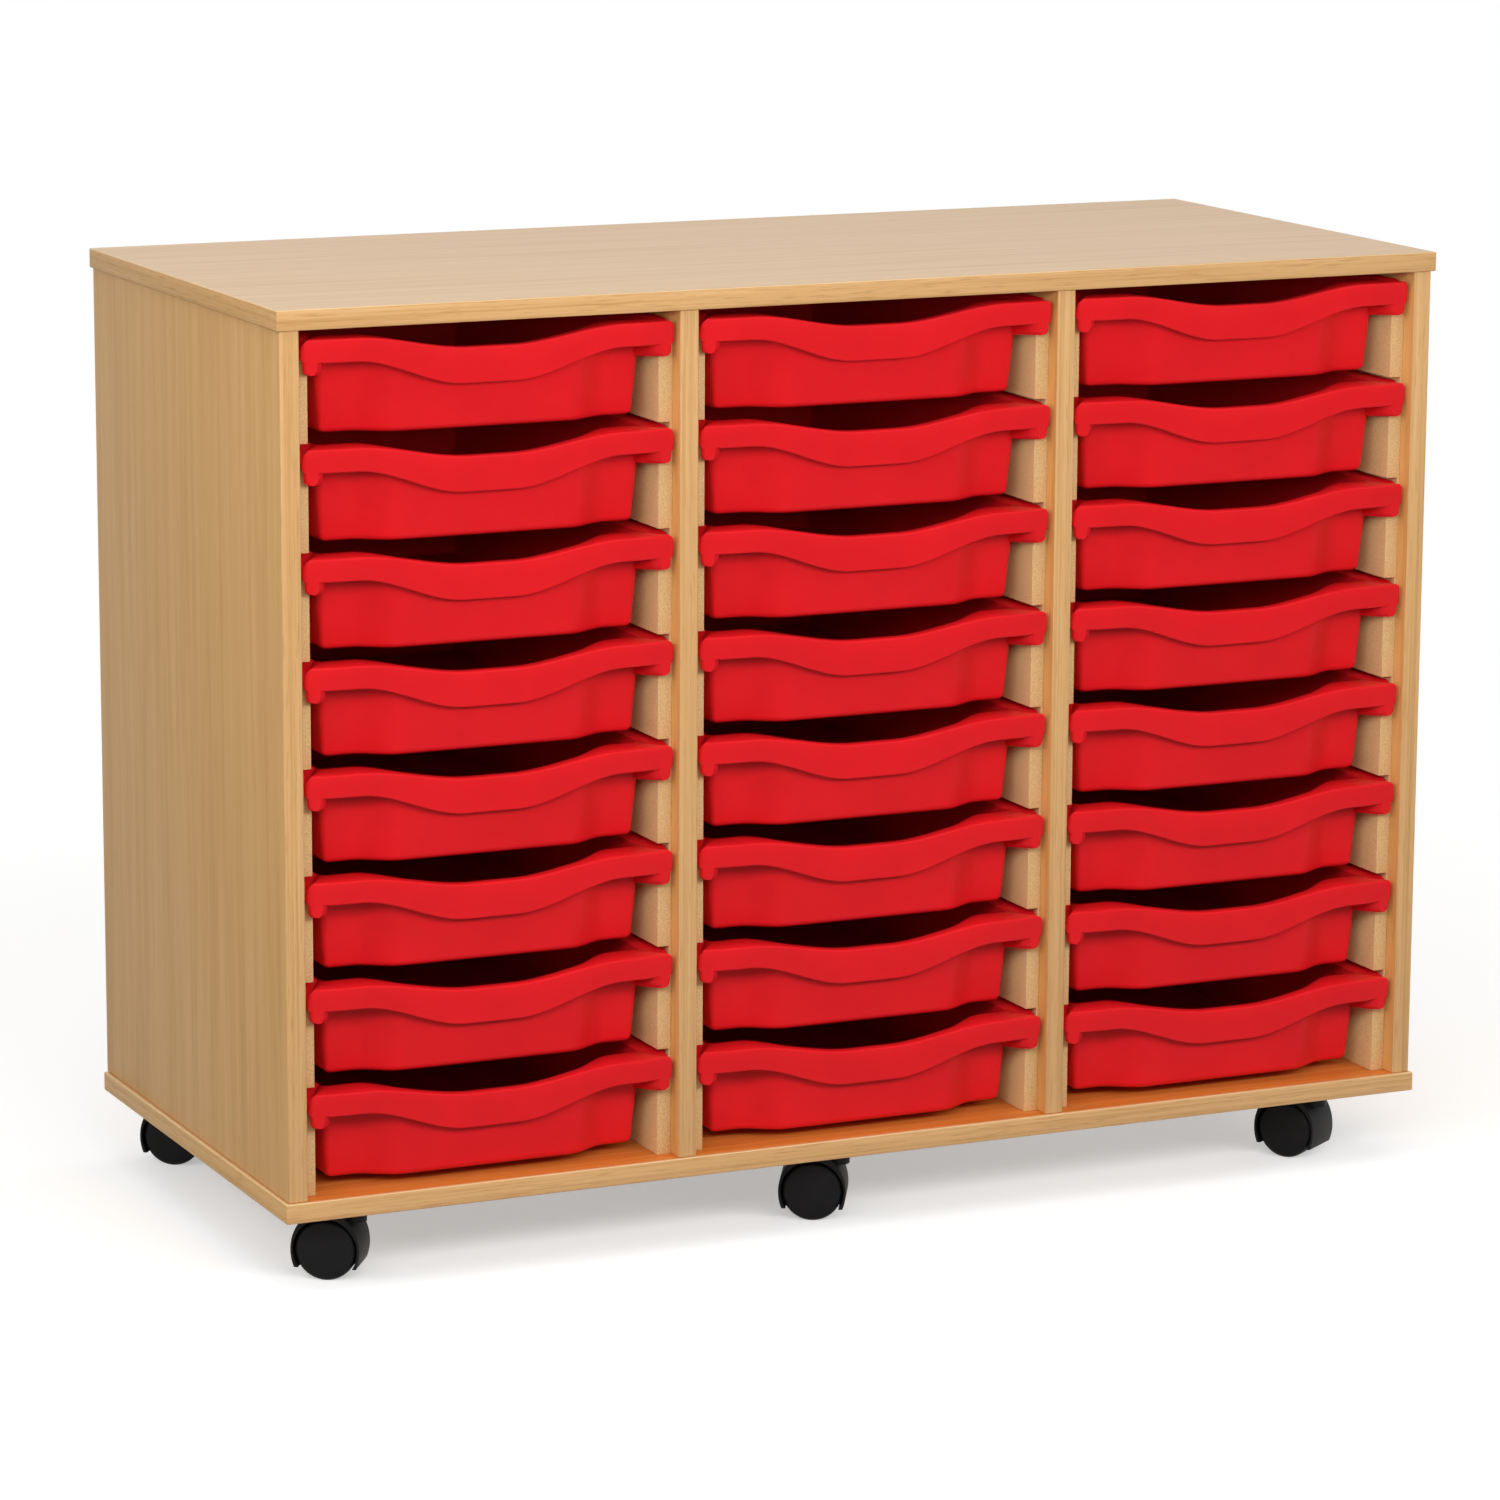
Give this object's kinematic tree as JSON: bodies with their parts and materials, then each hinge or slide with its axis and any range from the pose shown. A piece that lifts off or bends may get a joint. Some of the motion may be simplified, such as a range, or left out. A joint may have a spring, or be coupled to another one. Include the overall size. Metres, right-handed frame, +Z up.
{
  "type": "tray storage unit",
  "caption": "Mobile board cabinet with open-fronted bays of shallow pull-out trays on grooved runner boards, standing on twin-wheel castors.",
  "frame": {"origin": "on the floor, under the middle of the unit", "axes": "+X to the right seen from the open front, +Y to the back, +Z up"},
  "size_m": [1.024, 0.453, 0.781],
  "materials": {
    "beech_top": "satin melamine-faced board, pale beech print",
    "beech_board": "satin melamine-faced board, beech print with edging",
    "fibreboard": "matt fibreboard, fine speckle",
    "hardboard": "matt thin board",
    "red_tray": "satin injection-moulded polypropylene",
    "black_nylon": "satin moulded nylon",
    "black_tread": "satin moulded nylon wheel",
    "plated_steel": "zinc-plated steel"
  },
  "bodies": {
    "carcass": {"top_panel": "beech_top", "base_panel": "beech_board", "left_side_panel": "beech_board", "right_side_panel": "beech_board", "left_divider": "beech_board", "right_divider": "beech_board", "back_panel": "hardboard", "runner_left_bay_left": "fibreboard", "runner_left_bay_right": "fibreboard", "runner_middle_bay_left": "fibreboard", "runner_middle_bay_right": "fibreboard", "runner_right_bay_left": "fibreboard", "runner_right_bay_right": "fibreboard", "castor_front_left_plate": "plated_steel", "castor_front_middle_plate": "plated_steel", "castor_front_right_plate": "plated_steel", "castor_back_left_plate": "plated_steel", "castor_back_middle_plate": "plated_steel", "castor_back_right_plate": "plated_steel"},
    "tray_left_1": {"tray_left_1": "red_tray"},
    "tray_left_2": {"tray_left_2": "red_tray"},
    "tray_left_3": {"tray_left_3": "red_tray"},
    "tray_left_4": {"tray_left_4": "red_tray"},
    "tray_left_5": {"tray_left_5": "red_tray"},
    "tray_left_6": {"tray_left_6": "red_tray"},
    "tray_left_7": {"tray_left_7": "red_tray"},
    "tray_left_8": {"tray_left_8": "red_tray"},
    "tray_middle_1": {"tray_middle_1": "red_tray"},
    "tray_middle_2": {"tray_middle_2": "red_tray"},
    "tray_middle_3": {"tray_middle_3": "red_tray"},
    "tray_middle_4": {"tray_middle_4": "red_tray"},
    "tray_middle_5": {"tray_middle_5": "red_tray"},
    "tray_middle_6": {"tray_middle_6": "red_tray"},
    "tray_middle_7": {"tray_middle_7": "red_tray"},
    "tray_middle_8": {"tray_middle_8": "red_tray"},
    "tray_right_1": {"tray_right_1": "red_tray"},
    "tray_right_2": {"tray_right_2": "red_tray"},
    "tray_right_3": {"tray_right_3": "red_tray"},
    "tray_right_4": {"tray_right_4": "red_tray"},
    "tray_right_5": {"tray_right_5": "red_tray"},
    "tray_right_6": {"tray_right_6": "red_tray"},
    "tray_right_7": {"tray_right_7": "red_tray"},
    "tray_right_8": {"tray_right_8": "red_tray"},
    "castor_front_left_fork": {"castor_front_left_hood": "black_nylon"},
    "castor_front_left_wheel_pair": {"castor_front_left_wheels": "black_tread"},
    "castor_front_middle_fork": {"castor_front_middle_hood": "black_nylon"},
    "castor_front_middle_wheel_pair": {"castor_front_middle_wheels": "black_tread"},
    "castor_front_right_fork": {"castor_front_right_hood": "black_nylon"},
    "castor_front_right_wheel_pair": {"castor_front_right_wheels": "black_tread"},
    "castor_back_left_fork": {"castor_back_left_hood": "black_nylon"},
    "castor_back_left_wheel_pair": {"castor_back_left_wheels": "black_tread"},
    "castor_back_middle_fork": {"castor_back_middle_hood": "black_nylon"},
    "castor_back_middle_wheel_pair": {"castor_back_middle_wheels": "black_tread"},
    "castor_back_right_fork": {"castor_back_right_hood": "black_nylon"},
    "castor_back_right_wheel_pair": {"castor_back_right_wheels": "black_tread"}
  },
  "joints": [
    {"name": "slide_tray_left_1", "type": "slide", "parent": "carcass", "child": "tray_left_1", "axis": [0, -1, 0], "range_m": [0, 0.4]},
    {"name": "slide_tray_left_2", "type": "slide", "parent": "carcass", "child": "tray_left_2", "axis": [0, -1, 0], "range_m": [0, 0.4]},
    {"name": "slide_tray_left_3", "type": "slide", "parent": "carcass", "child": "tray_left_3", "axis": [0, -1, 0], "range_m": [0, 0.4]},
    {"name": "slide_tray_left_4", "type": "slide", "parent": "carcass", "child": "tray_left_4", "axis": [0, -1, 0], "range_m": [0, 0.4]},
    {"name": "slide_tray_left_5", "type": "slide", "parent": "carcass", "child": "tray_left_5", "axis": [0, -1, 0], "range_m": [0, 0.4]},
    {"name": "slide_tray_left_6", "type": "slide", "parent": "carcass", "child": "tray_left_6", "axis": [0, -1, 0], "range_m": [0, 0.4]},
    {"name": "slide_tray_left_7", "type": "slide", "parent": "carcass", "child": "tray_left_7", "axis": [0, -1, 0], "range_m": [0, 0.4]},
    {"name": "slide_tray_left_8", "type": "slide", "parent": "carcass", "child": "tray_left_8", "axis": [0, -1, 0], "range_m": [0, 0.4]},
    {"name": "slide_tray_middle_1", "type": "slide", "parent": "carcass", "child": "tray_middle_1", "axis": [0, -1, 0], "range_m": [0, 0.4]},
    {"name": "slide_tray_middle_2", "type": "slide", "parent": "carcass", "child": "tray_middle_2", "axis": [0, -1, 0], "range_m": [0, 0.4]},
    {"name": "slide_tray_middle_3", "type": "slide", "parent": "carcass", "child": "tray_middle_3", "axis": [0, -1, 0], "range_m": [0, 0.4]},
    {"name": "slide_tray_middle_4", "type": "slide", "parent": "carcass", "child": "tray_middle_4", "axis": [0, -1, 0], "range_m": [0, 0.4]},
    {"name": "slide_tray_middle_5", "type": "slide", "parent": "carcass", "child": "tray_middle_5", "axis": [0, -1, 0], "range_m": [0, 0.4]},
    {"name": "slide_tray_middle_6", "type": "slide", "parent": "carcass", "child": "tray_middle_6", "axis": [0, -1, 0], "range_m": [0, 0.4]},
    {"name": "slide_tray_middle_7", "type": "slide", "parent": "carcass", "child": "tray_middle_7", "axis": [0, -1, 0], "range_m": [0, 0.4]},
    {"name": "slide_tray_middle_8", "type": "slide", "parent": "carcass", "child": "tray_middle_8", "axis": [0, -1, 0], "range_m": [0, 0.4]},
    {"name": "slide_tray_right_1", "type": "slide", "parent": "carcass", "child": "tray_right_1", "axis": [0, -1, 0], "range_m": [0, 0.4]},
    {"name": "slide_tray_right_2", "type": "slide", "parent": "carcass", "child": "tray_right_2", "axis": [0, -1, 0], "range_m": [0, 0.4]},
    {"name": "slide_tray_right_3", "type": "slide", "parent": "carcass", "child": "tray_right_3", "axis": [0, -1, 0], "range_m": [0, 0.4]},
    {"name": "slide_tray_right_4", "type": "slide", "parent": "carcass", "child": "tray_right_4", "axis": [0, -1, 0], "range_m": [0, 0.4]},
    {"name": "slide_tray_right_5", "type": "slide", "parent": "carcass", "child": "tray_right_5", "axis": [0, -1, 0], "range_m": [0, 0.4]},
    {"name": "slide_tray_right_6", "type": "slide", "parent": "carcass", "child": "tray_right_6", "axis": [0, -1, 0], "range_m": [0, 0.4]},
    {"name": "slide_tray_right_7", "type": "slide", "parent": "carcass", "child": "tray_right_7", "axis": [0, -1, 0], "range_m": [0, 0.4]},
    {"name": "slide_tray_right_8", "type": "slide", "parent": "carcass", "child": "tray_right_8", "axis": [0, -1, 0], "range_m": [0, 0.4]},
    {"name": "swivel_front_left", "type": "hinge", "parent": "carcass", "child": "castor_front_left_fork", "pos_m": [-0.44, -0.184, 0.055], "axis": [0, 0, 1], "continuous": true},
    {"name": "roll_front_left", "type": "hinge", "parent": "castor_front_left_fork", "child": "castor_front_left_wheel_pair", "pos_m": [-0.45658, -0.17282, 0.025], "axis": [0.5592, 0.829, 0], "continuous": true},
    {"name": "swivel_front_middle", "type": "hinge", "parent": "carcass", "child": "castor_front_middle_fork", "pos_m": [-0.014, -0.184, 0.055], "axis": [0, 0, 1], "continuous": true},
    {"name": "roll_front_middle", "type": "hinge", "parent": "castor_front_middle_fork", "child": "castor_front_middle_wheel_pair", "pos_m": [-0.03149, -0.1743, 0.025], "axis": [0.4848, 0.8746, 0], "continuous": true},
    {"name": "swivel_front_right", "type": "hinge", "parent": "carcass", "child": "castor_front_right_fork", "pos_m": [0.44, -0.184, 0.055], "axis": [0, 0, 1], "continuous": true},
    {"name": "roll_front_right", "type": "hinge", "parent": "castor_front_right_fork", "child": "castor_front_right_wheel_pair", "pos_m": [0.42882, -0.16742, 0.025], "axis": [0.829, 0.5592, 0], "continuous": true},
    {"name": "swivel_back_left", "type": "hinge", "parent": "carcass", "child": "castor_back_left_fork", "pos_m": [-0.44, 0.184, 0.055], "axis": [0, 0, 1], "continuous": true},
    {"name": "roll_back_left", "type": "hinge", "parent": "castor_back_left_fork", "child": "castor_back_left_wheel_pair", "pos_m": [-0.45618, 0.19576, 0.025], "axis": [0.5878, 0.809, 0], "continuous": true},
    {"name": "swivel_back_middle", "type": "hinge", "parent": "carcass", "child": "castor_back_middle_fork", "pos_m": [-0.014, 0.184, 0.055], "axis": [0, 0, 1], "continuous": true},
    {"name": "roll_back_middle", "type": "hinge", "parent": "castor_back_middle_fork", "child": "castor_back_middle_wheel_pair", "pos_m": [-0.03018, 0.19576, 0.025], "axis": [0.5878, 0.809, 0], "continuous": true},
    {"name": "swivel_back_right", "type": "hinge", "parent": "carcass", "child": "castor_back_right_fork", "pos_m": [0.44, 0.184, 0.055], "axis": [0, 0, 1], "continuous": true},
    {"name": "roll_back_right", "type": "hinge", "parent": "castor_back_right_fork", "child": "castor_back_right_wheel_pair", "pos_m": [0.42382, 0.19576, 0.025], "axis": [0.5878, 0.809, 0], "continuous": true}
  ]
}
